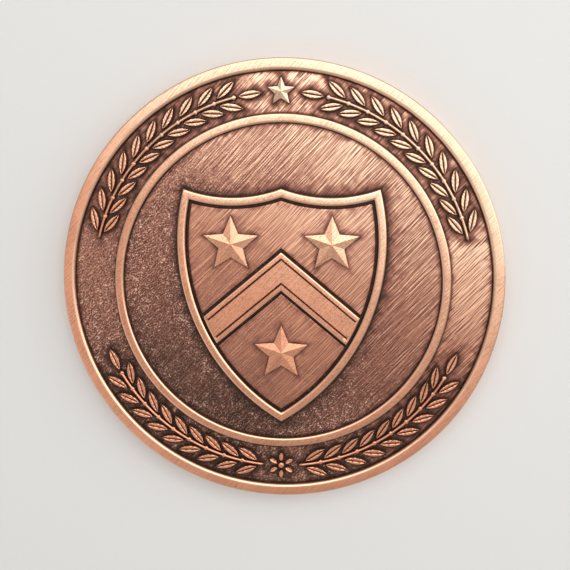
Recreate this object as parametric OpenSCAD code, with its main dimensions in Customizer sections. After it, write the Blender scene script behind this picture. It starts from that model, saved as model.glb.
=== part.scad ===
// Struck copper challenge coin: a raised rim round a flat web, an inner ring, a band with two laurel
// garlands, and a shield with a chevron and three stars. It lies flat, face up, with the top of its design
// towards +Y. The origin is at the centre of the face that it rests on. Sizes are in millimetres.

/* [Coin] */
// Diameter over the rim
coin_d = 44.45; // [38.1:0.05:50.8]
// Thickness over the two rims
coin_t = 3; // [2.4:0.1:4]
// Radius that rounds the two outer edges
edge_r = 0.2; // [0.1:0.05:0.4]

/* [Rim and ring] */
// Width of the rim at its foot
rim_w = 1.25; // [0.9:0.05:1.8]
// Depth of the obverse field below the rim
obverse_depth = 0.5; // [0.4:0.05:0.7]
// Depth of the plain reverse field below the rim
reverse_depth = 0.3; // [0.2:0.05:0.5]
// How far each raised wall leans in from its foot to its top
wall_draft = 0.12; // [0.06:0.02:0.24]
// Width of the band between rim and ring
band_w = 3.95; // [3.4:0.05:4.6]
// Width of the inner ring at its feet
ring_w = 1.05; // [0.8:0.05:1.4]
// How far the raised designs stop below the rim
relief_drop = 0.06; // [0.02:0.02:0.14]

/* [Garlands] */
// Angle that the upper garland spans
upper_span = 152; // [120:1:160]
// Angle that the lower garland spans
lower_span = 138; // [110:1:150]
// Clear band left on each side of a garland
garland_clear = 0.5; // [0.3:0.05:0.7]
// Angle of a leaf from its stem
leaf_angle = 26; // [22:1:32]
// Width of a leaf
leaf_w = 0.9; // [0.7:0.05:1.1]
// Clear distance across from one leaf to the next
leaf_gap = 0.32; // [0.24:0.02:0.6]
// Distance from the stem or the bead to the nearest point of a leaf or petal
leaf_stand_off = 0.1; // [0.05:0.05:0.3]
// Width of the groove along the middle of a leaf
vein_w = 0.12; // [0.08:0.02:0.3]
// Length of leaf before its groove starts
vein_start = 0.3; // [0.2:0.05:0.5]
// Width of a stem
stem_w = 0.34; // [0.24:0.02:0.5]
// Length of bare stem before the first leaves
stalk_len = 0.7; // [0.4:0.1:1.2]
// Diameter of a berry
berry_d = 0.54; // [0.4:0.02:0.64]
// Radius of the star at the top of the band
crown_star_r = 1.4; // [1:0.05:1.5]
// Steepest slope of the facets of a star
star_slope = 18; // [12:1:24]
// Radius of the rosette at the bottom of the band
rosette_r = 1.4; // [1.2:0.05:1.5]
// Diameter of the bead in the middle of the rosette
bead_d = 0.7; // [0.5:0.05:0.8]
// Clear distance from each half garland to the star and to the rosette
garland_gap = 0.4; // [0.25:0.05:0.7]

/* [Shield] */
// Clear field beside the shield at its widest
shield_side_clear = 5.4; // [4.6:0.1:6.2]
// Clear field at the point and at the upper corners
shield_end_clear = 1.6; // [1.2:0.1:2.4]
// Height from the widest part of the shield to its upper corners
shoulder_h = 5.6; // [4:0.1:7]
// Depth of the two hollows in the top edge
scoop_depth = 0.9; // [0.5:0.05:1.3]
// Width of the raised border at its foot
border_w = 1; // [0.7:0.05:1.3]
// Width of the grooves round the panels
groove_w = 0.16; // [0.1:0.02:0.5]
// Height of the panels above the field
panel_h = 0.24; // [0.16:0.02:0.3]
// Width of the chevron
chevron_w = 3.1; // [2.2:0.1:3.6]
// Slope of the chevron below level
chevron_slope = 40; // [34:1:46]
// Height of the chevron's point above the centre of the coin
chevron_point = 3.4; // [2.4:0.1:4.2]
// Distance of the engraved lines from the chevron's edges
line_inset = 0.5; // [0.4:0.05:0.7]
// Width and depth of the engraved lines
line_w = 0.22; // [0.14:0.02:0.3]
// Clear panel round each star
star_clear = 0.7; // [0.5:0.05:1.2]

/* [Hidden] */
$fn = 96;

copper = [0.72, 0.45, 0.30];
bright_copper = [0.85, 0.60, 0.44];
dark_copper = [0.34, 0.20, 0.14];

// A cutting shape runs past the solid that it cuts by this much
cut_over = 0.1;
// Radius of the inner corners of a star as a share of its points
star_waist = 0.45;
// Distance from the middle of a star to the foot line of a facet, as a share of its points
star_side = star_waist * sin(36) / sqrt(1 + pow(star_waist, 2) - 2 * star_waist * cos(36));
// Least upright side of a star below its facets
star_wall = 0.05;
// Radius of the dome on a berry or bead as a share of its diameter, flatter than a half ball
dome_share = 0.65;
// Petals of the rosette, and the widest that one may be as a share of its length
petal_count = 6;
petal_plump = 0.75;

// Heights
field_z = coin_t - obverse_depth;
relief_h = obverse_depth - relief_drop;
relief_z = field_z + relief_h;
panel_z = field_z + panel_h;
vein_depth = relief_h / 2;
line_depth = line_w / 2;

// Radii from the edge inwards
coin_r = coin_d / 2;
rim_foot_r = coin_r - rim_w;
ring_out_r = rim_foot_r - band_w;
field_r = ring_out_r - ring_w;
band_r = (rim_foot_r + ring_out_r) / 2;

// Garlands: the two arcs of a leaf just fill the room between the stem and the clear edge of the band
leaf_room = band_w / 2 - garland_clear - stem_w / 2 - leaf_stand_off;
leaf_arc_r = (leaf_room - leaf_w * cos(leaf_angle)) / (2 * (1 - cos(leaf_angle)));
leaf_len = sqrt(4 * leaf_w * leaf_arc_r - pow(leaf_w, 2));
leaf_base = stem_w / 2 + leaf_stand_off + (leaf_room - leaf_len * sin(leaf_angle)) / 2;
// The pitch keeps about leaf_gap between leaves that lie side by side along the stem
pitch_k = leaf_w * pow(cos(leaf_angle) / leaf_len, 2);
leaf_pitch = (sqrt(pow(sin(leaf_angle), 2) + 4 * pitch_k * (leaf_w + leaf_gap)) - sin(leaf_angle))
    / (2 * pitch_k);
pitch_deg = arc_deg(leaf_pitch);
stalk_deg = arc_deg(stalk_len);
tip_deg = arc_deg(leaf_len);
// Each half runs from its bare stalk to a single leaf at its tip
star_end_deg = arc_deg(crown_star_r + garland_gap);
rosette_end_deg = arc_deg(rosette_r + garland_gap);
upper_half_deg = upper_span / 2 - star_end_deg;
lower_half_deg = lower_span / 2 - rosette_end_deg;

// Rosette: its petals are plain blades that stand round the bead, leaf_gap apart
petal_base = bead_d / 2 + leaf_stand_off;
petal_len = rosette_r - petal_base;
petal_w = min(petal_len * petal_plump, (petal_base + rosette_r) * sin(180 / petal_count) - leaf_gap);

// Shield: its point and upper corners stay shield_end_clear inside the ring
shield_w = 2 * (field_r - shield_side_clear);
shield_reach = field_r - shield_end_clear;
shield_top = sqrt(pow(shield_reach, 2) - pow(shield_w / 2, 2));
shoulder_y = shield_top - shoulder_h;
side_r = (pow(shield_w / 2, 2) + pow(shoulder_y + shield_reach, 2)) / shield_w;
side_x = side_r - shield_w / 2;
corner_x = sqrt(pow(side_r, 2) - pow(shoulder_h, 2)) - side_x;
scoop_r = (pow(corner_x / 2, 2) + pow(scoop_depth, 2)) / (2 * scoop_depth);
scoop_y = shield_top + scoop_r - scoop_depth;
panel_inset = border_w + groove_w;
chevron_drop = chevron_w / cos(chevron_slope);
groove_drop = groove_w / cos(chevron_slope);

// Stars: each fills the largest circle that its part of the panel holds, less star_clear
above_side = corner_x - panel_inset;
above_top = shield_top - scoop_depth - panel_inset;
above_r = ((above_top - chevron_point - groove_drop) * cos(chevron_slope) + above_side * sin(chevron_slope))
    / (1 + cos(chevron_slope) + sin(chevron_slope));
below_y = chevron_point - chevron_drop - groove_drop;
below_side_r = side_r - panel_inset;
below_b = below_side_r * cos(chevron_slope) - (below_y - shoulder_y);
below_c = pow(side_x, 2) + pow(below_y - shoulder_y, 2) - pow(below_side_r, 2);
below_v = (sqrt(pow(below_b, 2) - below_c * pow(sin(chevron_slope), 2)) - below_b)
    / pow(sin(chevron_slope), 2);
below_r = below_v * cos(chevron_slope);
shield_star_r = min(above_r, below_r) - star_clear;

// Angle of a length that lies along the middle of the band
function arc_deg(length) = length / band_r * 180 / PI;

// Leaf pairs on half a garland, and the angle between them that fills the half evenly
function pairs_on(half_deg) = floor((half_deg - stalk_deg - tip_deg) / pitch_deg);
function step_on(half_deg) = (half_deg - stalk_deg - tip_deg) / pairs_on(half_deg);

// A disc whose side leans from one radius to another, with the same lean past both ends
module leaning_disc(low_r, high_r, low_z, high_z, over = 0) {
    lean = (high_r - low_r) / (high_z - low_z);
    translate([0, 0, low_z - over])
        cylinder(h = high_z - low_z + 2 * over, r1 = low_r - lean * over, r2 = high_r + lean * over);
}

// The rim in section: upright outside with two round edges, leaning inside above and below the web
module rim_section() {
    difference() {
        union() {
            translate([rim_foot_r, 0])
                square([rim_w - edge_r, coin_t]);
            translate([rim_foot_r, edge_r])
                square([rim_w, coin_t - 2 * edge_r]);
            for (z = [edge_r, coin_t - edge_r])
                translate([coin_r - edge_r, z])
                    circle(r = edge_r);
        }
        polygon([
            [rim_foot_r, field_z],
            [rim_foot_r + wall_draft, coin_t],
            [rim_foot_r, coin_t]
        ]);
        polygon([
            [rim_foot_r, reverse_depth],
            [rim_foot_r, 0],
            [rim_foot_r + wall_draft * reverse_depth / obverse_depth, 0]
        ]);
    }
}

// A flat-topped raised line in section, centred on a radius
module raised_section(r, w, draft) {
    polygon([
        [r - w / 2, field_z],
        [r + w / 2, field_z],
        [r + w / 2 - draft, relief_z],
        [r - w / 2 + draft, relief_z]
    ]);
}

// A pointed blade, from its base at the origin to its tip along +X: two leaning discs that cross
module blade(length, width) {
    arc_r = (pow(length, 2) + pow(width, 2)) / (4 * width);
    intersection_for (side = [-1, 1])
        translate([length / 2, side * (arc_r - width / 2), 0])
            leaning_disc(arc_r, arc_r - wall_draft / 2, field_z, relief_z);
}

// One leaf: a blade with a V groove along its middle, from past its base to its tip
module leaf() {
    difference() {
        blade(leaf_len, leaf_w);
        translate([vein_start, 0, relief_z - vein_depth])
            rotate([90, 0, 90])
                linear_extrude(leaf_len)
                    polygon([[0, 0], [vein_w, 2 * vein_depth], [-vein_w, 2 * vein_depth]]);
    }
}

// The leaves of half a garland, from angle zero on: pairs on the two sides of the stem and one at its tip
module leaves_half(half_deg) {
    for (i = [0 : pairs_on(half_deg) - 1], side = [-1, 1])
        rotate([0, 0, stalk_deg + i * step_on(half_deg)])
            translate([band_r + side * leaf_base, 0, 0])
                rotate([0, 0, 90 - side * leaf_angle])
                    leaf();
    rotate([0, 0, half_deg - tip_deg])
        translate([band_r, 0, 0])
            rotate([0, 0, 90 + tip_deg / 2])
                leaf();
}

// A round boss on the field with a domed top
module dome(d) {
    dome_r = d * dome_share;
    translate([0, 0, field_z])
        intersection() {
            cylinder(h = relief_h, d = d);
            translate([0, 0, relief_h - dome_r])
                sphere(r = dome_r);
        }
}

// A mirrored pair of what is placed for the half on the +X side
module both_halves() {
    children();
    mirror([1, 0, 0])
        children();
}

// The stem of half a garland, from angle zero on, with a berry before each place where leaves spring
module stem_half(half_deg) {
    rotate_extrude(angle = half_deg - tip_deg - arc_deg(leaf_stand_off))
        raised_section(band_r, stem_w, wall_draft / 2);
    for (i = [1 : pairs_on(half_deg)])
        rotate([0, 0, stalk_deg + i * step_on(half_deg) - arc_deg(berry_d / 2 + leaf_stand_off)])
            translate([band_r, 0, 0])
                dome(berry_d);
}

// A five-pointed star with a sharp ridge down each point and an upright side below its facets
module star(r, height) {
    facet_h = min(height - star_wall, r * star_side * tan(star_slope));
    outline = [for (i = [0 : 9]) let (p = i % 2 == 0 ? r : r * star_waist) p * [sin(36 * i), cos(36 * i)]];
    foot = [for (p = outline) [p.x, p.y, 0]];
    shoulder = [for (p = outline) [p.x, p.y, height - facet_h]];
    last = len(outline) - 1;
    apex = 2 * len(outline);
    ring = [for (i = [0 : last]) [i, i == last ? 0 : i + 1]];
    polyhedron(
        points = concat(foot, shoulder, [[0, 0, height]]),
        faces = concat(
            [[for (i = [last : -1 : 0]) i]],
            [for (e = ring) [e[0], e[1], e[1] + last + 1, e[0] + last + 1]],
            [for (e = ring) [e[0] + last + 1, e[1] + last + 1, apex]]
        )
    );
}

// The shield's outline drawn in by one distance at its foot and another at its top
module shield_block(low_inset, high_inset, low_z, high_z, over = 0) {
    difference() {
        intersection_for (side = [-1, 1])
            translate([side * side_x, shoulder_y, 0])
                leaning_disc(side_r - low_inset, side_r - high_inset, low_z, high_z, over);
        for (side = [-1, 1])
            translate([side * corner_x / 2, scoop_y, 0])
                leaning_disc(scoop_r + low_inset, scoop_r + high_inset, low_z, high_z, over + cut_over);
    }
}

module panel_block(top_z) {
    shield_block(panel_inset, panel_inset + wall_draft / 2, field_z, top_z);
}

// A roof-shaped strip across the whole shield, between two heights on the centre line
module roof_strip(low_y, high_y, low_z, high_z) {
    fall = shield_w * tan(chevron_slope);
    translate([0, 0, low_z])
        linear_extrude(high_z - low_z)
            polygon([
                [-shield_w, low_y - fall], [0, low_y], [shield_w, low_y - fall],
                [shield_w, high_y - fall], [0, high_y], [-shield_w, high_y - fall]
            ]);
}

module planchet() {
    color(dark_copper)
        translate([0, 0, reverse_depth])
            cylinder(h = field_z - reverse_depth, r = rim_foot_r);
}

module rim() {
    color(bright_copper)
        rotate_extrude()
            rim_section();
}

module inner_ring() {
    color(bright_copper)
        rotate_extrude()
            raised_section(field_r + ring_w / 2, ring_w, wall_draft);
}

module upper_leaves() {
    color(copper)
        both_halves()
            rotate([0, 0, 90 - upper_span / 2])
                leaves_half(upper_half_deg);
}

module upper_stem() {
    color(copper)
        both_halves()
            rotate([0, 0, 90 - upper_span / 2])
                stem_half(upper_half_deg);
}

module lower_leaves() {
    color(copper)
        both_halves()
            rotate([0, 0, rosette_end_deg - 90])
                leaves_half(lower_half_deg);
}

module lower_stem() {
    color(copper)
        both_halves()
            rotate([0, 0, rosette_end_deg - 90])
                stem_half(lower_half_deg);
}

module crown_star() {
    color(bright_copper)
        translate([0, band_r, field_z])
            star(crown_star_r, relief_h);
}

module rosette() {
    color(bright_copper)
        translate([0, -band_r, 0]) {
            dome(bead_d);
            for (i = [0 : petal_count - 1])
                rotate([0, 0, 90 + i * 360 / petal_count])
                    translate([petal_base, 0, 0])
                        blade(petal_len, petal_w);
        }
}

module shield_border() {
    color(bright_copper)
        difference() {
            shield_block(0, wall_draft, field_z, relief_z);
            shield_block(border_w, border_w - wall_draft, field_z, relief_z, cut_over);
        }
}

module upper_panel() {
    color(copper)
        intersection() {
            panel_block(panel_z);
            roof_strip(chevron_point + groove_drop, chevron_point + coin_d, field_z, panel_z);
        }
}

module lower_panel() {
    color(copper)
        intersection() {
            panel_block(panel_z);
            roof_strip(below_y - coin_d, below_y, field_z, panel_z);
        }
}

module chevron() {
    line_drop = line_w / cos(chevron_slope);
    inset_drop = line_inset / cos(chevron_slope);
    low_y = chevron_point - chevron_drop;
    color(bright_copper)
        difference() {
            intersection() {
                panel_block(relief_z);
                roof_strip(low_y, chevron_point, field_z, relief_z);
            }
            for (y = [low_y + inset_drop, chevron_point - inset_drop - line_drop])
                roof_strip(y, y + line_drop, relief_z - line_depth, relief_z + cut_over);
        }
}

module shield_stars() {
    above_x = above_side - above_r;
    star_h = relief_z - panel_z;
    color(bright_copper) {
        for (side = [-1, 1])
            translate([side * above_x, above_top - above_r, panel_z])
                star(shield_star_r, star_h);
        translate([0, below_y - below_v, panel_z])
            star(shield_star_r, star_h);
    }
}

planchet();
rim();
inner_ring();
upper_leaves();
upper_stem();
lower_leaves();
lower_stem();
crown_star();
rosette();
shield_border();
upper_panel();
lower_panel();
chevron();
shield_stars();
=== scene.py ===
import math
import bmesh
import bpy
import numpy as np
from mathutils import Matrix, Vector, kdtree
from mathutils.geometry import delaunay_2d_cdt


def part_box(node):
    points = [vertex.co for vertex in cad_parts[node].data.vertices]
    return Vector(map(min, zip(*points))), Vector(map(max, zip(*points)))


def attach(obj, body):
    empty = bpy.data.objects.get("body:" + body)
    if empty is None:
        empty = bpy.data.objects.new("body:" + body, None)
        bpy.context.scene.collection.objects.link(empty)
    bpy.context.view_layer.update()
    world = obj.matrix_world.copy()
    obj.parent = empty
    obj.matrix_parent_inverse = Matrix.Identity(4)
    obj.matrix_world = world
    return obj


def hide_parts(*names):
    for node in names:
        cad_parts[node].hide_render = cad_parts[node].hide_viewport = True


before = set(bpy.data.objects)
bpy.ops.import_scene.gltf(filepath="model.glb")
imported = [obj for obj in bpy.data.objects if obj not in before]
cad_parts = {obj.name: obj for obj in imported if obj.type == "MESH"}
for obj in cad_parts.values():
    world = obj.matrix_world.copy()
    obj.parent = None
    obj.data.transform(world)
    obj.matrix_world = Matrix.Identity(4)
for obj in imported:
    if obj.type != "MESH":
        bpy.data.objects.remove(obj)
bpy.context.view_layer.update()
scene = bpy.context.scene
scene.view_settings.view_transform = "Standard"
mm = 0.001  # lengths below are in millimetres, and meshes are scaled as they are made


def nodeBox(node):
    low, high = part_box(node)
    return np.array(low) / mm, np.array(high) / mm


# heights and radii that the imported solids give
coinRadius, coinTop = nodeBox("rim")[1][[0, 2]]
webRadius, fieldZ = nodeBox("planchet")[1][[0, 2]]
backZ = nodeBox("planchet")[0][2]
ringRadius, reliefZ = nodeBox("inner_ring")[1][[0, 2]]
panelZ = nodeBox("upper_panel")[1][2]
relief = reliefZ - fieldZ
bandRadius = (webRadius + ringRadius) / 2
wallDraft = 0.12  # lean of a raised wall from foot to top
print("frame: coin", round(2 * coinRadius, 2), "mm wide,", round(coinTop, 2), "mm thick")

# camera, as fitted to the rings of the photograph
cameraSet = {"place": (5.46, 13.23, 84.99), "target": (0.40, 0.04, 3.0), "lens": 52.41}
cameraData = bpy.data.cameras.new("camera")
cameraData.lens = cameraSet["lens"]
cameraData.clip_start = 0.001
camera = bpy.data.objects.new("camera", cameraData)
camera.location = Vector(cameraSet["place"]) * mm
sightLine = (Vector(cameraSet["target"]) - Vector(cameraSet["place"])).normalized()
sideLine = sightLine.cross(Vector((0, 1, 0))).normalized()
upLine = sideLine.cross(sightLine)
camera.rotation_mode = "QUATERNION"
turn = np.array([sideLine, upLine, -sightLine]).T
camera.rotation_quaternion = Matrix(turn.tolist()).to_quaternion()
scene.collection.objects.link(camera)
scene.camera = camera


class Wire:
    # a socket that takes part in shader maths
    def __init__(self, graph, socket):
        self.graph = graph
        self.socket = socket

    def math(self, operation, first, second=0.0):
        return self.graph.add("ShaderNodeMath", {"operation": operation}, {0: first, 1: second})

    def __add__(self, other):
        return self.math("ADD", self, other)

    def __radd__(self, other):
        return self.math("ADD", other, self)

    def __sub__(self, other):
        return self.math("SUBTRACT", self, other)

    def __rsub__(self, other):
        return self.math("SUBTRACT", other, self)

    def __mul__(self, other):
        return self.math("MULTIPLY", self, other)

    def __rmul__(self, other):
        return self.math("MULTIPLY", other, self)

    def __rpow__(self, other):
        return self.math("POWER", other, self)

    def most(self, other):
        return self.math("MAXIMUM", self, other)

    def ramp(self, low, high, toLow=0.0, toHigh=1.0):
        settings = {"interpolation_type": "SMOOTHSTEP"}
        values = {"Value": self, "From Min": low, "From Max": high, "To Min": toLow, "To Max": toHigh}
        return self.graph.add("ShaderNodeMapRange", settings, values)


class Graph:
    def __init__(self, tree):
        self.tree = tree
        tree.nodes.clear()

    def add(self, kind, settings=None, values=None, output=0):
        node = self.tree.nodes.new(kind)
        for key, value in (settings or {}).items():
            setattr(node, key, value)
        for key, value in (values or {}).items():
            if isinstance(value, Wire):
                self.tree.links.new(value.socket, node.inputs[key])
            else:
                node.inputs[key].default_value = value
        return Wire(self, node.outputs[output]) if node.outputs else None

    def mix(self, share, first, second):
        first, second = ((*c, 1.0) if isinstance(c, tuple) and len(c) == 3 else c for c in (first, second))
        return self.add("ShaderNodeMix", {"data_type": "RGBA"}, {0: share, 6: first, 7: second}, 2)

    def place(self):
        spot = self.add("ShaderNodeTexCoord", output="Object")
        return self.add("ShaderNodeVectorMath", {"operation": "SCALE"}, {0: spot, "Scale": 1 / mm})

    def grain(self, place, scale, detail=2.0, roughness=0.5):
        values = {"Vector": place, "Scale": scale, "Detail": detail, "Roughness": roughness}
        return self.add("ShaderNodeTexNoise", {}, values)

    # noise drawn out along the strokes of the brush, with its scale along and across them
    def strokes(self, place, angle, along, across, detail=0.0, shift=0.0):
        values = {"Vector": place, "Angle": -math.radians(angle)}
        turned = self.add("ShaderNodeVectorRotate", {"rotation_type": "Z_AXIS"}, values)
        values = {0: turned, 1: (along, across, across), 2: (0.0, shift, 0.0)}
        drawn = self.add("ShaderNodeVectorMath", {"operation": "MULTIPLY_ADD"}, values)
        return self.grain(drawn, 1.0, detail, 0.6)

    # strokes cut into the metal: the lit side of each less its shaded side, which in a colour paints light
    # and shade on them
    def scored(self, place, angle, along, across, detail=1.0):
        lit, shaded = (self.strokes(place, angle, along, across, detail, shift) for shift in (-0.25, 0.25))
        return lit - shaded

    def along(self, place, direction):
        values = {0: place, 1: (*direction, 0.0)}
        return self.add("ShaderNodeVectorMath", {"operation": "DOT_PRODUCT"}, values, "Value")

    def height(self, place):
        return self.add("ShaderNodeSeparateXYZ", {}, {0: place}, 2)

    def radius(self, place):
        level = self.add("ShaderNodeVectorMath", {"operation": "MULTIPLY"}, {0: place, 1: (1.0, 1.0, 0.0)})
        return self.add("ShaderNodeVectorMath", {"operation": "LENGTH"}, {0: level}, "Value")

    def mark(self, name):
        return self.add("ShaderNodeAttribute", {"attribute_name": name}, output="Fac")

    def coated(self, colour, roughness, metallic, height, depth):
        bump = self.add("ShaderNodeBump", {}, {"Strength": 1.0, "Distance": depth * mm, "Height": height})
        values = {"Base Color": colour, "Roughness": roughness, "Metallic": metallic, "Normal": bump}
        return self.add("ShaderNodeBsdfPrincipled", {}, values)

    # three masks: for rays that see a surface straight, mirrored and through glass
    def rays(self):
        kinds = ("Is Camera Ray", "Is Glossy Ray", "Is Transmission Ray")
        return [self.add("ShaderNodeLightPath", output=kind) for kind in kinds]

    def show(self, shader):
        self.add("ShaderNodeOutputMaterial", {}, {"Surface": shader})


def newFinish(name):
    material = bpy.data.materials.new(name)
    material.use_nodes = True
    return material, Graph(material.node_tree)


# light and surroundings
lightSet = {
    "key": {"place": (32, 95, 220), "size": (270, 210), "power": 0.34},
    "side": {"place": (210, 60, 110), "size": (140, 160), "power": 0.13},
    "fill": {"place": (-160, -120, 170), "size": (200, 200), "power": 0.05},
}
for lightName, entry in lightSet.items():
    lamp = bpy.data.lights.new(lightName, "AREA")
    lamp.shape = "RECTANGLE"
    lamp.size, lamp.size_y = (side * mm for side in entry["size"])
    lamp.energy = entry["power"]
    lampObject = bpy.data.objects.new(lightName, lamp)
    lampObject.location = Vector(entry["place"]) * mm
    lampObject.rotation_mode = "QUATERNION"
    lampObject.rotation_quaternion = (-Vector(entry["place"])).to_track_quat("-Z", "Y")
    scene.collection.objects.link(lampObject)

skySet = {
    "colour": (1.0, 0.99, 0.975, 1.0), "ambient": 0.45,
    "brightSide": (0.25, 0.55, 0.80), "brightRange": (0.45, 1.0), "dim": 0.52, "bright": 1.0,
}
world = bpy.data.worlds.new("studio")
world.use_nodes = True
scene.world = world
sky = Graph(world.node_tree)
heading = sky.add("ShaderNodeTexCoord", output="Generated")
brightSide = Vector(skySet["brightSide"]).normalized()
facing = sky.add("ShaderNodeVectorMath", {"operation": "DOT_PRODUCT"}, {0: heading, 1: brightSide}, "Value")
mirrored = facing.ramp(*skySet["brightRange"], skySet["dim"], skySet["bright"])
straight, glossy, through = sky.rays()
level = skySet["ambient"] + glossy * (mirrored - skySet["ambient"])
level = level.most(straight).most(through)
backdrop = sky.add("ShaderNodeBackground", {}, {"Color": skySet["colour"], "Strength": level})
sky.add("ShaderNodeOutputWorld", {}, {"Surface": backdrop})

floorSet = {
    "reach": 900, "colour": (0.80, 0.79, 0.77), "fibre": (0.76, 0.75, 0.73), "fibreShare": 0.2,
    "grain": 1.5, "depth": 0.01, "roughness": 0.85,
    "fade": (42, 130), "far": (0.82, 0.81, 0.785), "horizon": (1.0, 0.99, 0.975), "horizonStart": 150,
}
floorMesh = bpy.data.meshes.new("floor")
reach = floorSet["reach"] * mm
floorCorners = [(-reach, -reach, 0), (reach, -reach, 0), (reach, reach, 0), (-reach, reach, 0)]
floorMesh.from_pydata(floorCorners, [], [(0, 1, 2, 3)])
floor = bpy.data.objects.new("floor", floorMesh)
scene.collection.objects.link(floor)
floorFinish, paper = newFinish("palePaper")
paperPlace = paper.place()
paperGrain = paper.grain(paperPlace, floorSet["grain"])
paperColour = paper.mix(paperGrain * floorSet["fibreShare"], floorSet["colour"], floorSet["fibre"])
paperShader = paper.coated(paperColour, floorSet["roughness"], 0.0, paperGrain, floorSet["depth"])
# away from the coin the floor runs into the white background
distance = paper.radius(paperPlace)
towardsEdge = distance.ramp(floorSet["horizonStart"], floorSet["reach"])
farColour = paper.mix(towardsEdge, floorSet["far"], floorSet["horizon"])
farShader = paper.add("ShaderNodeEmission", {}, {"Color": farColour, "Strength": 1.0})
straight, glossy, through = paper.rays()
farShare = distance.ramp(*floorSet["fade"]) * straight.most(glossy).most(through)
paper.show(paper.add("ShaderNodeMixShader", {}, {0: farShare, 1: paperShader, 2: farShader}))
floorMesh.materials.append(floorFinish)
print("stage: camera, three soft lights and the floor")

# antique copper: bright where the brush rubbed it, brown in the recesses
copperSet = {
    # pale copper stands in for painted highlights: the sheen towards the light and the lines along rounded
    # edges
    "pale": (0.85, 0.575, 0.400),
    "bright": (0.865, 0.392, 0.238),
    "deep": (0.46, 0.20, 0.118),
    "brown": (0.268, 0.108, 0.075),
    "dark": (0.034, 0.0175, 0.0115),
    "pit": (0.062, 0.026, 0.0175),
    # glint: pale copper for painted glints in the fields
    "glint": (0.80, 0.51, 0.385),
    # sheen side and range: the copper is painted paler towards the upper right, where the light falls
    "sheenSide": (0.019, 0.038),
    "sheenRange": (-0.2, 0.70),
    "brushAngle": 47,
    "scratchAngle": 42,
    "worn": (0.70, 0.97),  # shares of a wall's height between which it turns bare
    "faceFade": 0.2,  # the brush fades out this far above and below the field
    "bandRange": (15.0, 18.0),  # radii between the centre and the band
}
# noise scales per millimetre; a pair is along and across the strokes of the brush
struckGrain = {"cloud": 0.35, "fine": 7.0, "mottle": 2.4, "thin": (0.4, 7.0)}
fieldGrain = {
    "cloud": 0.18, "mottle": 1.2, "specks": 5.4,
    "fine": (4.6, 6.0), "thin": (0.42, 7.0), "scratch": (0.15, 9.0),
}
# where dark pits (dark grain, plus painted shade from the scored lines) and painted glints sit in the
# noise, and how the specks thin out across the coin
speckSet = {
    "pits": (0.46, 0.37), "cutShade": (-0.08, -0.20), "glints": (0.57, 0.67), "cutGlints": (0.10, 0.22),
    "nearRange": (2.6, 0.5), "thickSide": (-0.05, -0.03), "thickRange": (-0.5, 0.3, 0.2, 1.0),
}


def bareCopperWithPaintedSheen(g, place):
    # copper metal with a painted sheen: paler towards the upper right, where the light falls
    paintedSheenShare = g.along(place, copperSet["sheenSide"]).ramp(*copperSet["sheenRange"])
    return g.mix(paintedSheenShare, copperSet["bright"], copperSet["pale"])


def struckFinish(name, entry):
    # tops of the raised designs: satin copper with polished edges under a painted highlight, and brown left
    # on walls and in grooves
    material, g = newFinish(name)
    place = g.place()
    cloud = g.grain(place, struckGrain["cloud"], 3.0)
    fine = g.grain(place, struckGrain["fine"], 2.0, 0.6)
    mottle = g.grain(place, struckGrain["mottle"], 2.0)
    thin = g.scored(place, copperSet["brushAngle"], *struckGrain["thin"])
    edge = g.mark("edge")
    rubbed = g.mark("rise").ramp(*copperSet["worn"]).most(edge)
    # the brush passes over the face, so the outer edge of the coin stays plain
    faceHeights = (fieldZ - copperSet["faceFade"], fieldZ + copperSet["faceFade"])
    brushed = (1 - edge) * g.height(place).ramp(*faceHeights)
    # lines: the scored strokes paint a lit and a shaded side into the colour
    lines = thin * brushed * entry["lines"]
    specks = (fine.ramp(0.36, 0.66) - 0.5) * brushed * entry["grain"]
    tone = entry["tone"] + lines + specks + 0.5 * (cloud - 0.5) + 0.4 * (mottle - 0.5)
    copper = g.mix(tone.ramp(0.0, 1.0), copperSet["deep"], bareCopperWithPaintedSheen(g, place))
    # rounded edges turn pale: real polish, and a painted highlight along them
    copper = g.mix(edge * 0.8, copper, copperSet["pale"])
    brown = g.mix(fine.ramp(0.35, 0.7), copperSet["dark"], copperSet["brown"])
    colour = g.mix(rubbed, brown, copper)
    roughness = entry["dull"] - 0.20 * rubbed - 0.10 * lines + 0.10 * (cloud - 0.5) - 0.10 * edge
    height = (thin * 0.5 + fine * 0.5) * (0.2 + 0.8 * brushed)
    g.show(g.coated(colour, roughness, 0.82 + 0.18 * rubbed, height, entry["depth"]))
    return material


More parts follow.
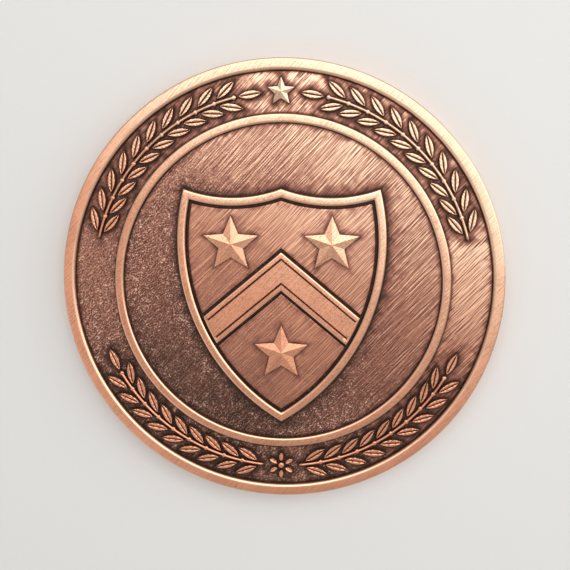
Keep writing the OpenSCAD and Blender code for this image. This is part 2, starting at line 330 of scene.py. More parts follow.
def fieldFinish(name, entry):
    # sunk fields: speckled brown near every wall, brushed through to copper in the open, with painted light
    # that makes them lighter towards the upper right
    material, g = newFinish(name)
    place = g.place()
    angle = copperSet["brushAngle"]
    cloud = g.grain(place, fieldGrain["cloud"], 2.0)
    mottle = g.grain(place, fieldGrain["mottle"], 3.0)
    specks = g.grain(place, fieldGrain["specks"], 2.0, 0.7)
    fine = g.scored(place, angle, *fieldGrain["fine"])
    thin = g.scored(place, angle, *fieldGrain["thin"])
    scratch = g.strokes(place, copperSet["scratchAngle"], *fieldGrain["scratch"])
    wallHalo, motifHalo = (math.exp(-1 / reach) for reach in entry["halo"])
    pooled = mottle.ramp(0.3, 0.7, 0.55, 1.5)
    wallGap, motifGap = g.mark("wallGap"), g.mark("motifGap")
    clear = (1 - wallHalo ** (wallGap * pooled)) * (1 - motifHalo ** (motifGap * pooled))
    near = wallGap.ramp(*speckSet["nearRange"]).most(motifGap.ramp(*speckSet["nearRange"]))
    inBand = g.radius(place).ramp(*copperSet["bandRange"])
    # the lean paints light: the field is lighter towards the upper right, where the light falls, and darker
    # towards the lower left; the rest is real rubbing and random tone
    rubAndPaintedLight = entry["base"] + g.along(place, entry["lean"]) + inBand * entry["band"]
    rubAndPaintedLight = rubAndPaintedLight + 0.25 * (cloud - 0.5) + 0.16 * (mottle - 0.5)
    bareAndPaintedLight = rubAndPaintedLight.ramp(0.25, 0.75)
    speckled = g.along(place, speckSet["thickSide"]).ramp(*speckSet["thickRange"])
    # lines: the scored strokes paint a lit and a shaded side into the colour
    lines = thin * (0.45 - 0.25 * speckled + 0.6 * bareAndPaintedLight) * entry["lines"]
    scratches = scratch.ramp(0.64, 0.72) * (0.08 + 0.25 * bareAndPaintedLight)
    tone = (rubAndPaintedLight + lines + scratches) * clear
    brown = g.mix(tone.ramp(0.0, 0.36), copperSet["dark"], copperSet["brown"])
    colour = g.mix(tone.ramp(0.28, 1.0), brown, bareCopperWithPaintedSheen(g, place))
    grain = (1 - bareAndPaintedLight) * rubAndPaintedLight.ramp(0.12, 0.30, 0.45, 1.0) * clear
    cuts = fine * speckled + thin * (1 - speckled)
    # pits: dark grain, plus painted shade on the shaded side of the scored lines; glints: painted
    # highlights, pale specks and the lit side of the scored lines
    darkSpecks = specks.ramp(*speckSet["pits"]) * speckled * 0.85
    paintedGlintSpecks = specks.ramp(*speckSet["glints"]) * speckled * mottle.ramp(0.35, 0.65, 0.4, 1.1)
    pits = darkSpecks.most(cuts.ramp(*speckSet["cutShade"]) * 0.7)
    glints = paintedGlintSpecks.most(cuts.ramp(*speckSet["cutGlints"]) * 0.5)
    colour = g.mix(pits * grain * (0.95 + 0.05 * near) * entry["pits"], colour, copperSet["pit"])
    colour = g.mix(glints * grain * (0.7 + 0.5 * near) * entry["glints"], colour, copperSet["glint"])
    roughness = 0.50 - 0.20 * tone.ramp(0.0, 1.0)
    relieved = (specks * speckled + fine) * (1 - 0.9 * bareAndPaintedLight) + thin * (0.1 + 0.3 * bareAndPaintedLight)
    g.show(g.coated(colour, roughness, 0.80 + 0.20 * tone.ramp(0.0, 0.8), relieved, entry["depth"]))
    return material


finishSet = {
    "relief": {"tone": 0.70, "lines": 1.0, "grain": 0.4, "dull": 0.50, "depth": 0.012},
    "rim": {"tone": 0.70, "lines": 1.3, "grain": 0.28, "dull": 0.56, "depth": 0.007},
    "ring": {"tone": 0.60, "lines": 0.8, "grain": 0.3, "dull": 0.52, "depth": 0.008},
    # lean: painted light, lighter towards the upper right
    "field": {"halo": (0.16, 0.60), "base": 0.348, "lean": (0.0070, 0.0135), "band": 0.17,
              "lines": 2.1, "pits": 1.15, "glints": 1.3, "depth": 0.03},
    "panel": {"halo": (0.10, 0.22), "base": 0.54, "lean": (0.003, 0.007), "band": 0.0,
              "lines": 1.2, "pits": 0.4, "glints": 0.3, "depth": 0.02},
}
reliefCopper = struckFinish("reliefCopper", finishSet["relief"])
rimCopper = struckFinish("rimCopper", finishSet["rim"])
ringCopper = struckFinish("ringCopper", finishSet["ring"])
fieldCopper = fieldFinish("fieldCopper", finishSet["field"])
panelCopper = fieldFinish("panelCopper", finishSet["panel"])
print("finishes: struck, rim, ring, field and panel copper")


# meshes
def circle(radius, count):
    angles = np.arange(count) * (2 * math.pi / count)
    return radius * np.stack([np.cos(angles), np.sin(angles)], axis=1)


def leftOf(edges):
    # unit vectors to the left of a run of edges
    return np.stack([-edges[:, 1], edges[:, 0]], axis=1) / np.linalg.norm(edges, axis=1)[:, None]


def insetLoop(loop, distance):
    # moves a counter-clockwise loop inwards, square to its edges
    inA = leftOf(loop - np.roll(loop, 1, axis=0))
    inB = leftOf(np.roll(loop, -1, axis=0) - loop)
    share = 1 + np.sum(inA * inB, axis=1)
    return loop + (inA + inB) / np.maximum(share, 0.25)[:, None] * distance


def spacedLoop(corners, step):
    # the same outline with points along its long edges
    points = []
    for start, end in zip(corners, np.roll(corners, -1, axis=0)):
        count = max(1, round(np.linalg.norm(end - start) / step))
        points += [start + (end - start) * k / count for k in range(count)]
    return np.array(points)


def clipLoop(loop, normal, limit):
    # the part of an outline where normal . point is at least limit
    kept = []
    side = loop @ np.array(normal) - limit
    for i in range(len(loop)):
        j = (i + 1) % len(loop)
        if side[i] >= 0:
            kept.append(loop[i])
        if (side[i] > 0 > side[j]) or (side[i] < 0 < side[j]):
            kept.append(loop[i] + (loop[j] - loop[i]) * side[i] / (side[i] - side[j]))
    return np.array(kept)


def insideLoop(points, loop):
    within = np.zeros(len(points), bool)
    for (ax, ay), (bx, by) in zip(loop, np.roll(loop, -1, axis=0)):
        if ay == by:
            continue
        crosses = (points[:, 1] < ay) != (points[:, 1] < by)
        within ^= crosses & (points[:, 0] < ax + (points[:, 1] - ay) * (bx - ax) / (by - ay))
    return within


def nearestGap(points, targets):
    tree = kdtree.KDTree(len(targets))
    for i, (x, y) in enumerate(targets):
        tree.insert((x, y, 0), i)
    tree.balance()
    return np.array([tree.find((x, y, 0))[2] for x, y in points])


def wallProfile(draft, height, shoulder=0.11, steps=5):
    # (inset, height, edge) up a leaning wall and round its top, where edge is 1 halfway round
    slope = math.hypot(draft, height)
    share = 1 - shoulder / slope
    start = np.array([draft * share, height * share])
    corner = np.array([draft, height])
    end = np.array([draft + shoulder, height])
    profile = [(0.0, 0.0, 0.0), (*start * 0.5, 0.0)]
    for t in np.linspace(0, 1, steps + 1):
        inset, lift = (1 - t) ** 2 * start + 2 * t * (1 - t) * corner + t * t * end
        profile.append((inset, lift, 4 * t * (1 - t)))
    return profile


farGap = 9.0  # stands for no motif near
engraved = 0.16  # depth at which an engraved line is fully brown
rowShare = 0.866  # height of an even triangle as a share of its side


class Strike:
    # gathers the rings and lids of one struck piece
    def __init__(self):
        self.verts, self.faces = [], []
        self.rise, self.edge, self.wallGap, self.motifGap = [], [], [], []

    def points(self, loop, z, rise, gap, edge=0.0):
        start = len(self.verts)
        count = len(loop)
        heights = np.broadcast_to(z, count)
        self.verts += [(x, y, h) for (x, y), h in zip(loop, heights)]
        self.rise += list(np.broadcast_to(rise, count))
        self.edge += list(np.broadcast_to(edge, count))
        self.wallGap += list(np.broadcast_to(gap, count))
        self.motifGap += [farGap] * count
        return list(range(start, start + count))

    def skin(self, low, high, closed=True):
        count = len(low)
        for i in range(count if closed else count - 1):
            j = (i + 1) % count
            self.faces.append((low[i], low[j], high[j], high[i]))

    def lid(self, ring, spacing, creases=(), top=None):
        # fills a ring with even triangles, with points along each crease, at the heights that top gives
        loop = np.array([self.verts[k][:2] for k in ring])
        z = self.verts[ring[0]][2]
        low, high = loop.min(axis=0), loop.max(axis=0)
        rows = np.arange(low[1], high[1], spacing * rowShare)
        columns = np.arange(low[0], high[0], spacing)
        grid = np.array([(x + (k % 2) * spacing / 2, y) for k, y in enumerate(rows) for x in columns])
        grid = grid[insideLoop(grid, loop)]
        fixed = np.concatenate([loop, *creases]) if creases else loop
        grid = grid[nearestGap(grid, fixed) > spacing * 0.6]
        points = np.concatenate([fixed, grid])
        count = len(loop)
        edges = [(i, (i + 1) % count) for i in range(count)]
        for crease in creases:
            edges += [(count + i, count + i + 1) for i in range(len(crease) - 1)]
            count += len(crease)
        made = delaunay_2d_cdt([Vector(p) for p in points.tolist()], edges, [], 1, 1e-7)
        source = [origin[0] for origin in made[3]]
        inner = points[len(loop):]
        heights = np.full(len(inner), z) if top is None else top(inner)
        rise = np.clip(1 - (z - heights) / engraved, 0, 1)
        added = self.points(inner, heights, rise, nearestGap(inner, loop))
        index = list(ring) + added
        self.faces += [tuple(index[source[k]] for k in face) for face in made[2]]

    def raised(self, loop, z, profile, spacing, creases=(), top=None):
        # a solid on one outline: its wall rings, its lid and its flat foot
        height = profile[-1][1]
        rings = [self.points(insetLoop(loop, d), z + h, h / height, d, e) for d, h, e in profile]
        for low, high in zip(rings, rings[1:]):
            self.skin(low, high)
        self.faces.append(tuple(reversed(rings[0])))
        self.lid(rings[-1], spacing, creases, top)

    def build(self, name, node, slot, finish, smooth=40):
        mesh = bpy.data.meshes.new(name)
        mesh.from_pydata((np.array(self.verts) * mm).tolist(), [], self.faces)
        for label in ("rise", "edge", "wallGap", "motifGap"):
            values = np.array(getattr(self, label), np.float32)
            mesh.attributes.new(label, "FLOAT", "POINT").data.foreach_set("value", values)
        cleaner = bmesh.new()
        cleaner.from_mesh(mesh)
        bmesh.ops.recalc_face_normals(cleaner, faces=cleaner.faces)
        cleaner.to_mesh(mesh)
        cleaner.free()
        mesh.polygons.foreach_set("use_smooth", [True] * len(mesh.polygons))
        mesh.set_sharp_from_angle(angle=math.radians(smooth))
        mesh.materials.append(finish)
        piece = bpy.data.objects.new(name, mesh)
        scene.collection.objects.link(piece)
        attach(piece, "root")
        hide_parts(node)
        print("piece:", name, len(mesh.polygons), "faces")


wallLines, motifLines = [], []  # feet of the rings and of the motifs on the field, where brown gathers

# rim and inner ring, turned from their sections: a list of (radius, height, rise, edge)
rimSet = {
    "segments": 360, "edgeRound": 0.2, "shoulder": 0.28, "backShoulder": 0.12,
    "ringWidth": 1.05, "ringShoulder": 0.18,
}


def turned(name, node, slot, finish, section):
    strike = Strike()
    count = rimSet["segments"]
    rings = [strike.points(circle(r, count), z, rise, 1.0, edge) for r, z, rise, edge in section]
    for low, high in zip(rings, rings[1:] + rings[:1]):
        strike.skin(low, high)
    strike.build(name, node, slot, finish)


def roundEdge(middle, radius, start, steps=6):
    # a round outer edge, turning clockwise from start
    turns = np.radians(start - np.linspace(0, 90, steps + 1))
    marks = np.sin(np.linspace(0, math.pi, steps + 1))
    radii = middle[0] + radius * np.cos(turns)
    heights = middle[1] + radius * np.sin(turns)
    return [(r, z, 1.0, mark) for r, z, mark in zip(radii, heights, marks)]


edgeRound = rimSet["edgeRound"]
rimRise = coinTop - fieldZ
rimUpper = wallProfile(wallDraft, rimRise, rimSet["shoulder"], 7)
rimLower = wallProfile(wallDraft * backZ / rimRise, backZ, rimSet["backShoulder"])
rimSection = [(webRadius + d, fieldZ + h, h / rimRise, e) for d, h, e in rimUpper]
rimSection += roundEdge((coinRadius - edgeRound, coinTop - edgeRound), edgeRound, 90)
rimSection += roundEdge((coinRadius - edgeRound, edgeRound), edgeRound, 0)
rimSection += [(webRadius + d, backZ - h, h / backZ, e) for d, h, e in reversed(rimLower)]
turned("coinRim", "rim", "rim_copper", rimCopper, rimSection)
wallLines.append(circle(webRadius, 1400))

ringWidth = rimSet["ringWidth"]
ringWall = wallProfile(wallDraft, relief, rimSet["ringShoulder"])
ringSection = [(ringRadius - d, fieldZ + h, h / relief, e) for d, h, e in ringWall]
ringSection += [(ringRadius - ringWidth + d, fieldZ + h, h / relief, e) for d, h, e in reversed(ringWall)]
turned("bandRing", "inner_ring", "rim_copper", ringCopper, ringSection)
wallLines += [circle(ringRadius, 1100), circle(ringRadius - ringWidth, 1000)]

# laurel garlands: leaves in pairs along a stem, each with a sunk midrib and fine side veins
garlandSet = {
    "upperSpan": 152, "lowerSpan": 138, "clear": 0.5, "gap": 0.4,
    "leafAngle": 26, "leafWidth": 0.9, "leafGap": 0.32, "standOff": 0.1,
    "veinWidth": 0.12, "veinStart": 0.3, "veinDepth": 0.13,
    "sideVeinPitch": 0.36, "sideVeinDepth": 0.035, "wall": 0.12, "crown": 0.05,
    "leafRows": 34, "stemWidth": 0.34, "stemTaper": 0.72, "stemStep": 0.25,
    "stalk": 0.7, "berry": 0.54, "domeSides": 24, "star": 1.4,
    "rosette": 1.4, "bead": 0.7, "petals": 6, "petalPlump": 0.75,
}
leafAngle = math.radians(garlandSet["leafAngle"])
leafWidth = garlandSet["leafWidth"]
stemClear = garlandSet["stemWidth"] / 2 + garlandSet["standOff"]
leafRoom = (webRadius - ringRadius) / 2 - garlandSet["clear"] - stemClear
leafArc = (leafRoom - leafWidth * math.cos(leafAngle)) / (2 * (1 - math.cos(leafAngle)))
leafLength = math.sqrt(4 * leafWidth * leafArc - leafWidth ** 2)
leafBase = stemClear + (leafRoom - leafLength * math.sin(leafAngle)) / 2
pitchShare = leafWidth * (math.cos(leafAngle) / leafLength) ** 2
across = leafWidth + garlandSet["leafGap"]
lean = math.sin(leafAngle)
leafPitch = (math.sqrt(lean ** 2 + 4 * pitchShare * across) - lean) / (2 * pitchShare)
stalkTurn, tipTurn, pitchTurn = (d / bandRadius for d in (garlandSet["stalk"], leafLength, leafPitch))
starTurn = (garlandSet["star"] + garlandSet["gap"]) / bandRadius
rosetteTurn = (garlandSet["rosette"] + garlandSet["gap"]) / bandRadius
upperHalf, lowerHalf = (math.radians(garlandSet[key] / 2) for key in ("upperSpan", "lowerSpan"))
# where the right half of each garland starts, and how far it runs
garlands = {
    "upper": (math.pi / 2 - upperHalf, upperHalf - starTurn),
    "lower": (rosetteTurn - math.pi / 2, lowerHalf - rosetteTurn),
}


def spin(points, angle):
    c, s = math.cos(angle), math.sin(angle)
    return points @ np.array([[c, s], [-s, c]])


def leafForm(length, width, veined=True):
    # one leaf or petal along +X as a grid of points with their heights
    count = garlandSet["leafRows"]
    along = 0.5 - 0.5 * np.cos(np.linspace(0, math.pi, count))
    along = 0.6 * along + 0.4 * np.linspace(0, 1, count)
    half = np.array([0, 0.06, 0.12, 0.2, 0.34, 0.5, 0.62, 0.73, 0.82, 0.89, 0.95, 1.0])
    spread = np.concatenate([-half[:0:-1], half])
    x = length * along
    arc = (length ** 2 + width ** 2) / (4 * width)
    breadth = np.sqrt(arc ** 2 - (x - length / 2) ** 2) - arc + width / 2
    gridX, gridV = np.meshgrid(x, spread, indexing="ij")
    side = breadth[:, None] * gridV
    edge = breadth[:, None] - np.abs(side)
    wall = np.clip(edge / garlandSet["wall"], 0, 1)
    height = relief * (1 - (1 - wall) ** 2.2)
    height -= garlandSet["crown"] * (2 * np.abs(gridV) - 0.9) ** 2
    bend = np.clip((wall - 0.3) / 0.7, 0, 1)
    edges = 4 * bend * (1 - bend)
    if not veined:
        return np.stack([gridX, side], axis=2), np.clip(height, 0, relief), edges
    fromBase = np.clip((gridX - garlandSet["veinStart"] + 0.1) / 0.2, 0, 1)
    toTip = np.clip((length - gridX) / 0.25, 0, 1)
    groove = np.clip(1 - np.abs(side) / (garlandSet["veinWidth"] / 2 + 0.01), 0, 1)
    height -= garlandSet["veinDepth"] * groove * fromBase * toTip * wall
    phase = (gridX - 1.1 * np.abs(side)) / garlandSet["sideVeinPitch"]
    ribs = (0.5 + 0.5 * np.cos(2 * math.pi * phase)) ** 4 * (1 - groove)
    height -= garlandSet["sideVeinDepth"] * ribs * np.clip((edge - 0.08) / 0.12, 0, 1)
    return np.stack([gridX, side], axis=2), np.clip(height, 0, relief), edges


def addLeaf(strike, form, place, angle, mirror=False):
    flat, heights, edges = form
    rowCount, columnCount = heights.shape
    flat = (spin(flat.reshape(-1, 2), angle) + place) * ((-1, 1) if mirror else (1, 1))
    flat = flat.reshape(rowCount, columnCount, 2)
    rows = []
    for i in range(rowCount):
        if i in (0, rowCount - 1):
            rows.append(strike.points(flat[i, :1], fieldZ, 0.0, 0.0) * columnCount)
        else:
            rows.append(strike.points(flat[i], fieldZ + heights[i], heights[i] / relief, 1.0, edges[i]))
    for low, high in zip(rows, rows[1:]):
        for j in range(columnCount - 1):
            corners = dict.fromkeys((low[j], high[j], high[j + 1], low[j + 1]))
            strike.faces.append(tuple(corners))
    rightSide = [row[0] for row in rows]
    leftSide = [row[-1] for row in rows[1:-1]]
    strike.faces.append(tuple(rightSide + leftSide[::-1]))
    motifLines.append(np.concatenate([flat[:, 0], flat[:, -1]]))


def stemPath(angle, offset):
    return np.stack([np.cos(angle), np.sin(angle)], axis=-1) * (bandRadius + offset)


def addStem(strike, start, end, mirror):
    # a half-round rod along the middle of the band, tapered at both ends
    turns = np.linspace(start, end, 2 + int((end - start) * bandRadius / garlandSet["stemStep"]))
    halfWidth = garlandSet["stemWidth"] / 2
    rightHalf = [(0.3, 0.98), (0.62, 0.88), (0.86, 0.6), (1, 0)]
    section = [(-o, h) for o, h in reversed(rightHalf)] + [(0, 1)] + rightHalf
    rings = []
    for k, angle in enumerate(turns):
        taper = garlandSet["stemTaper"] if k in (0, len(turns) - 1) else 1.0
        flat = np.array([stemPath(angle, o * halfWidth * taper) for o, h in section])
        if mirror:
            flat = flat * (-1, 1)
        heights = np.array([h for o, h in section]) * taper
        rings.append(strike.points(flat, fieldZ + relief * heights, heights, 1.0))
        motifLines.append(flat[[0, -1]])
    for low, high in zip(rings, rings[1:]):
        strike.skin(low, high, closed=False)
        strike.faces.append((low[-1], low[0], high[0], high[-1]))
    strike.faces += [tuple(rings[0]), tuple(reversed(rings[-1]))]


# shares of a dome's radius and of its height
domeSection = ((1, 0), (0.99, 0.45), (0.95, 0.62), (0.84, 0.80), (0.66, 0.92), (0.42, 0.985), (0.16, 1.0))


def addDome(strike, centre, diameter):
    # a berry or bead: a round boss with a domed top
    foot = circle(diameter / 2, garlandSet["domeSides"])
    rings = []
    for share, rise in domeSection:
        rings.append(strike.points(foot * share + centre, fieldZ + relief * rise, rise, 1.0))
    for low, high in zip(rings, rings[1:]):
        strike.skin(low, high)
    strike.faces += [tuple(reversed(rings[0])), tuple(rings[-1])]
    motifLines.append(foot + centre)


leaf = leafForm(leafLength, leafWidth)
berryTurn = (garlandSet["berry"] / 2 + garlandSet["standOff"]) / bandRadius
for part, (first, half) in garlands.items():
    pairs = math.floor((half - stalkTurn - tipTurn) / pitchTurn)
    step = (half - stalkTurn - tipTurn) / pairs
    leaves, stem = Strike(), Strike()
    for mirror in (False, True):
        for i in range(pairs):
            turnTo = first + stalkTurn + i * step
            for side in (-1, 1):
                place = spin(np.array([bandRadius + side * leafBase, 0.0]), turnTo)
                addLeaf(leaves, leaf, place, turnTo + math.pi / 2 - side * leafAngle, mirror)
            centre = stemPath(turnTo + step - berryTurn, 0.0) * ((-1, 1) if mirror else (1, 1))
            addDome(stem, centre, garlandSet["berry"])
        turnTo = first + half - tipTurn
        addLeaf(leaves, leaf, stemPath(turnTo, 0.0), turnTo + math.pi / 2 + tipTurn / 2, mirror)
        addStem(stem, first, turnTo - garlandSet["standOff"] / bandRadius, mirror)
    leaves.build(part + "GarlandLeaves", part + "_leaves", "relief_copper", reliefCopper)
    stem.build(part + "GarlandStem", part + "_stem", "relief_copper", reliefCopper)

# rosette between the two halves of the lower garland: petals round a bead
petalBase = garlandSet["bead"] / 2 + garlandSet["standOff"]
petalLength = garlandSet["rosette"] - petalBase
petalTurn = 2 * math.pi / garlandSet["petals"]
petalRoom = (petalBase + garlandSet["rosette"]) * math.sin(petalTurn / 2) - garlandSet["leafGap"]
petal = leafForm(petalLength, min(petalLength * garlandSet["petalPlump"], petalRoom), veined=False)
rosetteCentre = np.array([0.0, -bandRadius])
rosette = Strike()
addDome(rosette, rosetteCentre, garlandSet["bead"])
for i in range(garlandSet["petals"]):
    turnTo = math.pi / 2 + i * petalTurn
    addLeaf(rosette, petal, rosetteCentre + spin(np.array([petalBase, 0.0]), turnTo), turnTo)
rosette.build("garlandRosette", "rosette", "relief_copper", reliefCopper)

# shield: a raised border, two brushed panels and the chevron between them
shieldSet = {
    "sideClear": 5.4, "endClear": 1.6, "scoop": 0.9, "border": 1.0, "groove": 0.16,
    "chevron": 3.1, "slope": 40, "point": 3.4, "lineInset": 0.5, "lineWidth": 0.22, "starClear": 0.7,
    "shoulder": 5.6, "starSlope": 18, "starWaist": 0.45, "starWall": 0.05,
    "borderRound": 0.18, "chevronRound": 0.14, "panelRound": 0.08,
    "panelStep": 0.45, "panelMesh": 0.22, "chevronStep": 0.4, "chevronMesh": 0.25, "creaseInset": 0.36,
    "footStep": 0.1, "borderFootStep": 0.08,
}
innerRadius = ringRadius - ringWidth
shieldHalf = innerRadius - shieldSet["sideClear"]
shieldReach = innerRadius - shieldSet["endClear"]
shieldTop = math.sqrt(shieldReach ** 2 - shieldHalf ** 2)
shoulderY = shieldTop - shieldSet["shoulder"]
sideRadius = (shieldHalf ** 2 + (shoulderY + shieldReach) ** 2) / (2 * shieldHalf)
sideX = sideRadius - shieldHalf
cornerX = math.sqrt(sideRadius ** 2 - shieldSet["shoulder"] ** 2) - sideX
scoopRadius = ((cornerX / 2) ** 2 + shieldSet["scoop"] ** 2) / (2 * shieldSet["scoop"])
scoopY = shieldTop + scoopRadius - shieldSet["scoop"]


def crossing(centreA, radiusA, centreB, radiusB):
    # the right-hand point where two circles meet
    link = np.array(centreB) - np.array(centreA)
    span = np.linalg.norm(link)
    share = (radiusA ** 2 - radiusB ** 2 + span ** 2) / (2 * span)
    lift = math.sqrt(radiusA ** 2 - share ** 2)
    unit = link / span
    middle = np.array(centreA) + unit * share
    aside = lift * np.array([-unit[1], unit[0]])
    return max(middle - aside, middle + aside, key=lambda p: p[0])


def arcPoints(centre, radius, start, end, count):
    a, b = (math.atan2(p[1] - centre[1], p[0] - centre[0]) for p in (start, end))
    angles = np.linspace(a, b, count)
    return np.array(centre) + radius * np.stack([np.cos(angles), np.sin(angles)], axis=1)


def shieldLoop(inset, topCount=24, sideCount=56):
    # counter-clockwise from the point: up the right side, along the two hollows, down the left side
    side, scoop = sideRadius - inset, scoopRadius + inset
    sideCentre, scoopCentre = (-sideX, shoulderY), (cornerX / 2, scoopY)
    corner = crossing(sideCentre, side, scoopCentre, scoop)
    tip = (0.0, shoulderY - math.sqrt(side ** 2 - sideX ** 2))
    peak = (0.0, scoopY - math.sqrt(scoop ** 2 - (cornerX / 2) ** 2))
    right = arcPoints(sideCentre, side, tip, corner, sideCount)
    top = arcPoints(scoopCentre, scoop, corner, peak, topCount)
    half = np.concatenate([right, top[1:]])
    return np.concatenate([half, half[-2:0:-1] * (-1, 1)])


borderWall = wallProfile(wallDraft, relief, shieldSet["borderRound"])
border = Strike()
borderSection = borderWall + [(shieldSet["border"] - d, h, e) for d, h, e in reversed(borderWall)]
borderRings = [border.points(shieldLoop(d), fieldZ + h, h / relief, d, e) for d, h, e in borderSection]
for low, high in zip(borderRings, borderRings[1:] + borderRings[:1]):
    border.skin(low, high)
border.build("shieldBorder", "shield_border", "relief_copper", reliefCopper)
motifLines += [spacedLoop(shieldLoop(d), shieldSet["borderFootStep"]) for d in (0.0, shieldSet["border"])]

slope = math.radians(shieldSet["slope"])
fall = math.tan(slope)
chevronDrop, grooveDrop, lineDrop, lineWide = (
    shieldSet[key] / math.cos(slope) for key in ("chevron", "groove", "lineInset", "lineWidth"))
panelInset = shieldSet["border"] + shieldSet["groove"]


def roofPart(high, low):
    # what a roof-shaped strip keeps of the panel outline, between two heights on the centre line
    half = clipLoop(shieldLoop(panelInset, 60, 140), (1, 0), 0.0)
    if high is not None:
        half = clipLoop(half, (-fall, -1), -high)
    if low is not None:
        half = clipLoop(half, (fall, 1), low)
    centre = np.flatnonzero(half[:, 0] < 1e-6)
    bottom = centre[np.argmin(half[centre, 1])]
    half = np.roll(half, -bottom, axis=0)
    outer = half[half[:, 0] > 1e-6]
    ends = half[half[:, 0] <= 1e-6]
    peak = ends[np.argmax(ends[:, 1])]
    chain = np.concatenate([ends[:1], outer, [peak]])
    return np.concatenate([chain, outer[::-1] * (-1, 1)])


def evenLoop(loop, step):
    # drops points that crowd each other and fills long edges, keeping the corners
    edges = np.roll(loop, -1, axis=0) - loop
    ahead = np.arctan2(edges[:, 1], edges[:, 0])
    bend = np.abs((ahead - np.roll(ahead, 1) + math.pi) % (2 * math.pi) - math.pi)
    corners = np.flatnonzero(bend > 0.15)
    points = []
    for a, b in zip(corners, np.roll(corners, -1)):
        run = np.array([loop[(a + k) % len(loop)] for k in range((b - a) % len(loop) + 1)])
        length = np.concatenate([[0], np.cumsum(np.linalg.norm(np.diff(run, axis=0), axis=1))])
        stops = np.linspace(0, length[-1], max(2, round(length[-1] / step) + 1))[:-1]
        points += [(np.interp(s, length, run[:, 0]), np.interp(s, length, run[:, 1])) for s in stops]
    return np.array(points)


def starLoop(radius, centre):
    angles = math.pi / 2 + np.arange(10) * math.pi / 5
    lengths = np.where(np.arange(10) % 2 == 0, radius, radius * shieldSet["starWaist"])
    return np.stack([np.cos(angles), np.sin(angles)], axis=1) * lengths[:, None] + centre


# stars: each fills the largest circle that its part of the panel holds
sine, cosine = math.sin(slope), math.cos(slope)
aboveSide = cornerX - panelInset
aboveTop = shieldTop - shieldSet["scoop"] - panelInset
aboveRadius = (aboveTop - shieldSet["point"] - grooveDrop) * cosine + aboveSide * sine
aboveRadius /= 1 + cosine + sine
belowY = shieldSet["point"] - chevronDrop - grooveDrop
belowB = (sideRadius - panelInset) * cosine - (belowY - shoulderY)
belowC = sideX ** 2 + (belowY - shoulderY) ** 2 - (sideRadius - panelInset) ** 2
belowShift = (math.sqrt(belowB ** 2 - belowC * sine ** 2) - belowB) / sine ** 2
starRadius = min(aboveRadius, belowShift * cosine) - shieldSet["starClear"]
starPlaces = [(side * (aboveSide - aboveRadius), aboveTop - aboveRadius) for side in (-1, 1)]
starPlaces.append((0.0, belowY - belowShift))
starFeet = np.concatenate([spacedLoop(starLoop(starRadius, p), shieldSet["footStep"]) for p in starPlaces])

panelWall = wallProfile(wallDraft / 2, panelZ - fieldZ, shieldSet["panelRound"])
for name, node, high, low in (
    ("upperPanel", "upper_panel", None, shieldSet["point"] + grooveDrop),
    ("lowerPanel", "lower_panel", belowY, None),
):
    panel = Strike()
    panelLoop = evenLoop(roofPart(high, low), shieldSet["panelStep"])
    panel.raised(panelLoop, fieldZ, panelWall, shieldSet["panelMesh"])
    panel.motifGap = list(nearestGap(np.array(panel.verts)[:, :2], starFeet))
    panel.build(name, node, "panel_copper", panelCopper)
    motifLines.append(spacedLoop(panelLoop, shieldSet["footStep"]))

lowY = shieldSet["point"] - chevronDrop
lineMiddles = [lowY + lineDrop + lineWide / 2, shieldSet["point"] - lineDrop - lineWide / 2]


def chevronTop(points):
    level = points[:, 1] + np.abs(points[:, 0]) * fall
    gaps = np.min([np.abs(level - m) for m in lineMiddles], axis=0) * cosine
    return reliefZ - np.clip(1 - gaps / (shieldSet["lineWidth"] / 2), 0, 1) * shieldSet["lineWidth"] / 2


chevronLoop = evenLoop(roofPart(shieldSet["point"], lowY), shieldSet["chevronStep"])
chevronInner = insetLoop(chevronLoop, shieldSet["creaseInset"])
chevronWall = wallProfile(wallDraft / 2, relief, shieldSet["chevronRound"])
chevronCreases = []
creaseX = np.linspace(-shieldHalf, shieldHalf, 181)
for middle in lineMiddles:
    for share in (-0.5, -0.25, 0.0, 0.25, 0.5):
        creaseY = middle + share * shieldSet["lineWidth"] / cosine - np.abs(creaseX) * fall
        crease = np.stack([creaseX, creaseY], axis=1)
        chevronCreases.append(crease[insideLoop(crease, chevronInner)])
chevron = Strike()
chevron.raised(chevronLoop, fieldZ, chevronWall, shieldSet["chevronMesh"], chevronCreases, chevronTop)
chevron.build("chevronBar", "chevron", "relief_copper", reliefCopper)
motifLines.append(spacedLoop(chevronLoop, shieldSet["footStep"]))

starWaist = shieldSet["starWaist"]
starTurnHalf = math.pi / 5
starEdge = math.sqrt(1 + starWaist ** 2 - 2 * starWaist * math.cos(starTurnHalf))
starSide = starWaist * math.sin(starTurnHalf) / starEdge
starSteepness = math.tan(math.radians(shieldSet["starSlope"]))


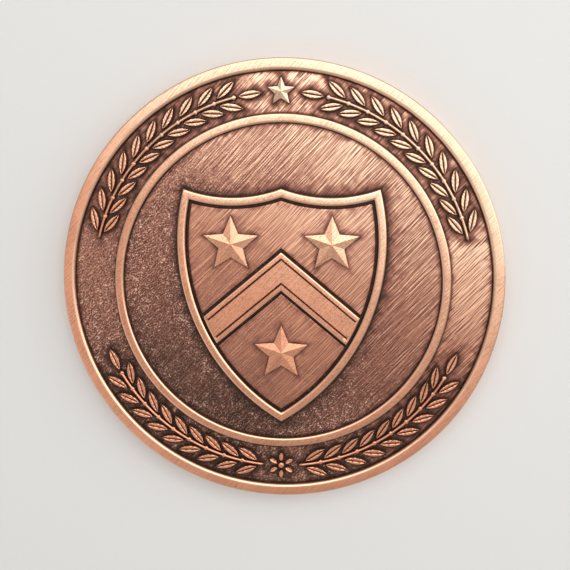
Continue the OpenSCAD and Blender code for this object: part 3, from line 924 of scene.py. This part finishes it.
def addStar(strike, radius, centre, foot, height):
    # facets rise from an upright side to the middle, with a sharp ridge down each point
    outline = starLoop(radius, centre)
    facetRise = min(height - foot - shieldSet["starWall"], radius * starSide * starSteepness)
    low = strike.points(outline, foot, 0.0, 0.0)
    rings = []
    for share, rise in ((0.0, 0.80), (0.06, 0.95), (0.25, 1.0), (0.5, 1.0), (0.75, 1.0)):
        loop = outline + (np.array(centre) - outline) * share
        rings.append(strike.points(loop, height - facetRise * (1 - share), rise, share))
    apex = strike.points([centre], height, 1.0, 1.0)[0]
    for a, b in zip([low] + rings, rings):
        strike.skin(a, b)
    strike.faces.append(tuple(reversed(low)))
    last = rings[-1]
    strike.faces += [(last[i], last[(i + 1) % 10], apex) for i in range(10)]


facetTurn = 5  # degrees between two faces from which a star's ridges stay sharp
shieldStars = Strike()
for place in starPlaces:
    addStar(shieldStars, starRadius, place, panelZ, reliefZ)
shieldStars.build("shieldStars", "shield_stars", "relief_copper", reliefCopper, facetTurn)
crownStar = Strike()
crownPlace = (0.0, bandRadius)
addStar(crownStar, garlandSet["star"], crownPlace, fieldZ, reliefZ)
crownStar.build("crownStar", "crown_star", "relief_copper", reliefCopper, facetTurn)
motifLines.append(spacedLoop(starLoop(garlandSet["star"], crownPlace), shieldSet["footStep"]))

# the web, whose two faces are the fields
webSet = {"segments": 720, "rings": 118, "backRings": 16, "backGap": 3.0}
web = Strike()
webCount = webSet["segments"]
radii, backRadii = (
    webRadius * (1 - np.arange(count) / count) for count in (webSet["rings"], webSet["backRings"]))
fieldPoints = np.concatenate([circle(r, webCount) for r in radii])
wallGaps = nearestGap(fieldPoints, np.concatenate(wallLines)).reshape(len(radii), -1)
motifGaps = nearestGap(fieldPoints, np.concatenate(motifLines))
backGaps = np.minimum(webSet["backGap"], webRadius - backRadii)
backs = [web.points(circle(r, webCount), backZ, 1.0, gap) for r, gap in zip(backRadii, backGaps)]
fronts = [web.points(circle(r, webCount), fieldZ, 1.0, gaps) for r, gaps in zip(radii, wallGaps)]
web.motifGap[-len(motifGaps):] = motifGaps
for low, high in zip(fronts, fronts[1:]):
    web.skin(low, high)
for low, high in zip(backs, backs[1:]):
    web.skin(high, low)
web.skin(backs[0], fronts[0])
web.faces += [tuple(fronts[-1]), tuple(reversed(backs[-1]))]
web.build("coinWeb", "planchet", "field_copper", fieldCopper)
